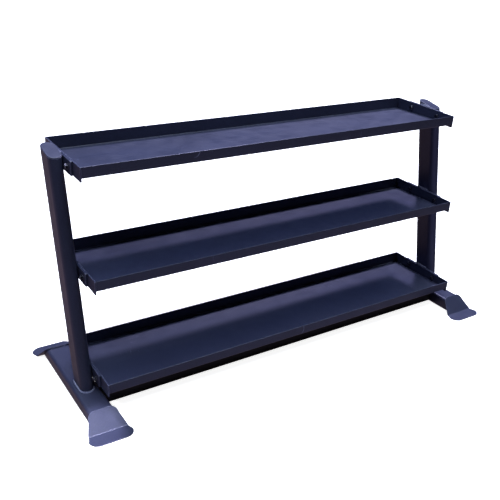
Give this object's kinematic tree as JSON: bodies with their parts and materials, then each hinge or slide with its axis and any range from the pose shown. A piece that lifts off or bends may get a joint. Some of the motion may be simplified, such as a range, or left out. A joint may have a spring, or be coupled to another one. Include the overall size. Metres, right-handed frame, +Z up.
{
  "type": "dumbbell rack",
  "caption": "Free-standing rack with level sheet-metal trays between leaning end frames, for storing a range of dumbbells.",
  "frame": {"origin": "on the floor, under the middle of the rack's bounding box", "axes": "+X along the trays to the right as a user sees them, +Y to the back, +Z up; the user stands on the -Y side"},
  "size_m": [2.0772, 0.759, 0.9954],
  "materials": {
    "frame_coat": "blue-black semi-gloss powder coat with a fine grain",
    "tray_coat": "blue-black satin powder coat with a fine grain, slightly rubbed where weights stand",
    "weld_coat": "powder coat over a rippled weld bead",
    "crossmember_paint": "matt black paint",
    "fastener": "dark zinc-plated steel, half bright"
  },
  "bodies": {
    "root": {"left_base_beam": "frame_coat", "left_upright": "frame_coat", "left_upright_cap": "frame_coat", "left_upright_weld": "weld_coat", "right_base_beam": "frame_coat", "right_upright": "frame_coat", "right_upright_cap": "frame_coat", "right_upright_weld": "weld_coat", "left_front_foot": "frame_coat", "left_rear_foot": "frame_coat", "right_front_foot": "frame_coat", "right_rear_foot": "frame_coat", "bottom_tray_pan": "tray_coat", "bottom_left_tray_end": "tray_coat", "bottom_left_bracket": "frame_coat", "bottom_left_front_bolt": "fastener", "bottom_left_rear_bolt": "fastener", "bottom_left_front_nut": "fastener", "bottom_left_rear_nut": "fastener", "bottom_right_tray_end": "tray_coat", "bottom_right_bracket": "frame_coat", "bottom_right_front_bolt": "fastener", "bottom_right_rear_bolt": "fastener", "bottom_right_front_nut": "fastener", "bottom_right_rear_nut": "fastener", "middle_tray_pan": "tray_coat", "middle_left_tray_end": "tray_coat", "middle_left_bracket": "frame_coat", "middle_left_front_bolt": "fastener", "middle_left_rear_bolt": "fastener", "middle_left_front_nut": "fastener", "middle_left_rear_nut": "fastener", "middle_right_tray_end": "tray_coat", "middle_right_bracket": "frame_coat", "middle_right_front_bolt": "fastener", "middle_right_rear_bolt": "fastener", "middle_right_front_nut": "fastener", "middle_right_rear_nut": "fastener", "top_tray_pan": "tray_coat", "top_left_tray_end": "tray_coat", "top_left_bracket": "frame_coat", "top_left_front_bolt": "fastener", "top_left_rear_bolt": "fastener", "top_left_front_nut": "fastener", "top_left_rear_nut": "fastener", "top_right_tray_end": "tray_coat", "top_right_bracket": "frame_coat", "top_right_front_bolt": "fastener", "top_right_rear_bolt": "fastener", "top_right_front_nut": "fastener", "top_right_rear_nut": "fastener", "low_crossmember": "crossmember_paint"}
  },
  "joints": []
}
